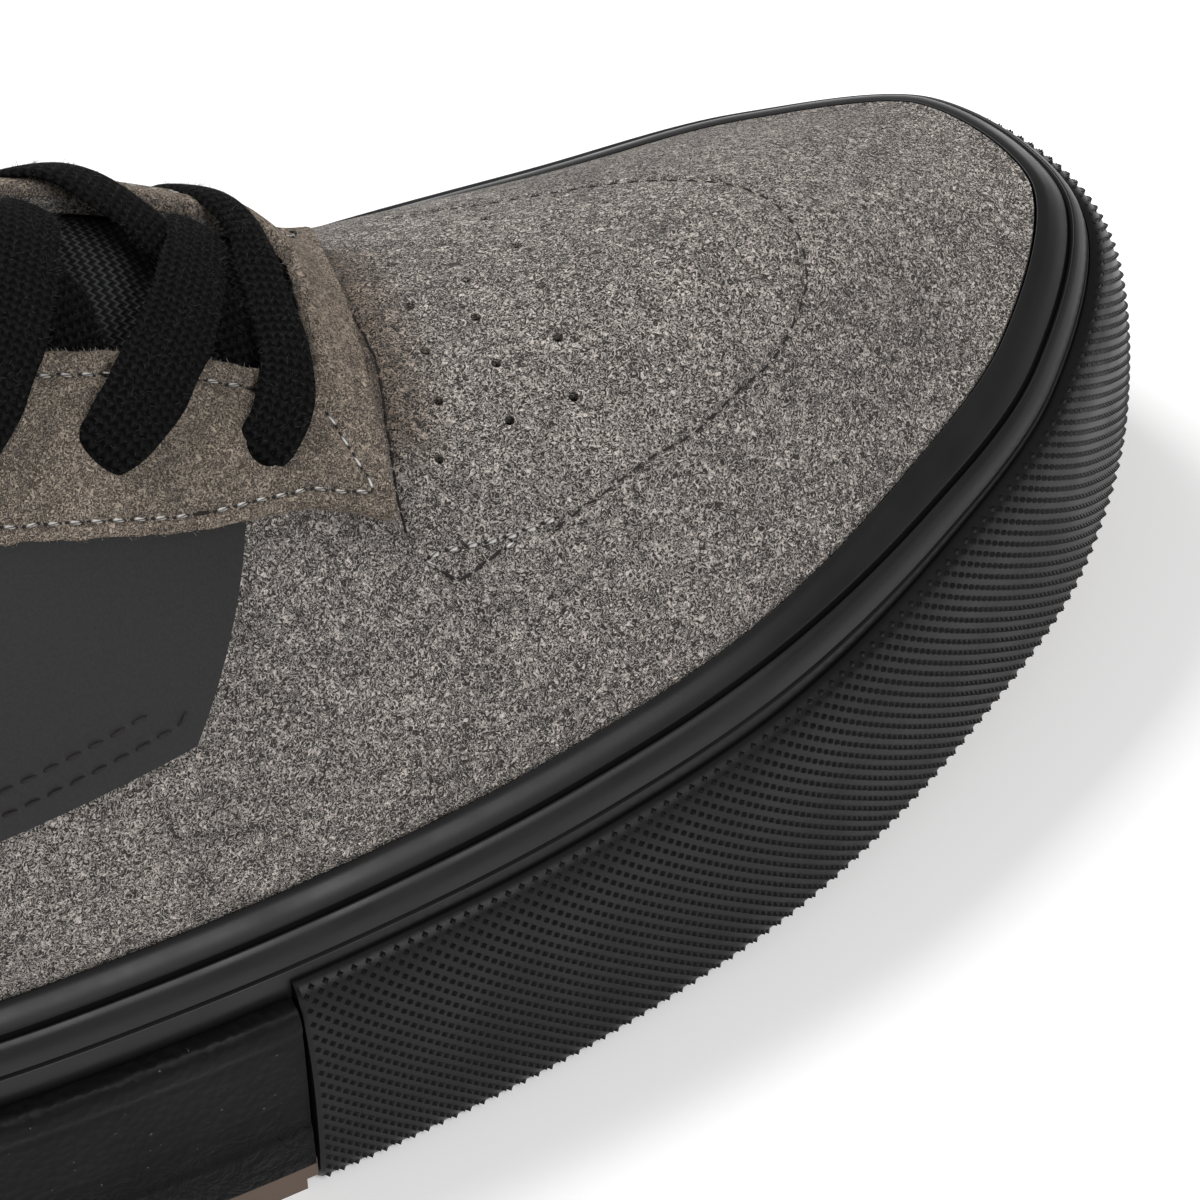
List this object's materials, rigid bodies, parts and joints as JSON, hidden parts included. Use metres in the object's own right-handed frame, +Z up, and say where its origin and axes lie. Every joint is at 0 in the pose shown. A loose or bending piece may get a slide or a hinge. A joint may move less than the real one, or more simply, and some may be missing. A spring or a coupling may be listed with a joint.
{
  "type": "skateboarding shoe",
  "caption": "Low lace-up suede skateboarding shoe for the right foot, with a black rubber toe bumper, stepped rubber side wall, gum outsole and flat black laces.",
  "frame": {"origin": "middle of the sole's outline, on the floor plane", "axes": "+X from heel to toe, +Y to the inner side of the foot, +Z up"},
  "size_m": [0.2989, 0.1053, 0.1234],
  "materials": {
    "suede": "grey-brown napped suede",
    "black_rubber": "satin black rubber",
    "gum_rubber": "matte gum rubber",
    "filler": "soft foam",
    "insole_textile": "black brushed textile",
    "black_textile": "black knitted mesh",
    "panel_leather": "smooth black synthetic leather",
    "lace": "flat woven lace"
  },
  "bodies": {
    "root": {"collar": "black_textile", "eyestay": "suede", "foxing": "black_rubber", "insole": "insole_textile", "lace_bar": "lace", "lace_crossing_1": "lace", "lace_crossing_2": "lace", "lace_crossing_3": "lace", "lace_crossing_4": "lace", "midsole": "filler", "outsole": "gum_rubber", "rand": "black_rubber", "side_panel_inner": "panel_leather", "side_panel_outer": "panel_leather", "toe_bumper": "black_rubber", "tongue": "black_textile", "upper": "suede"}
  },
  "joints": []
}
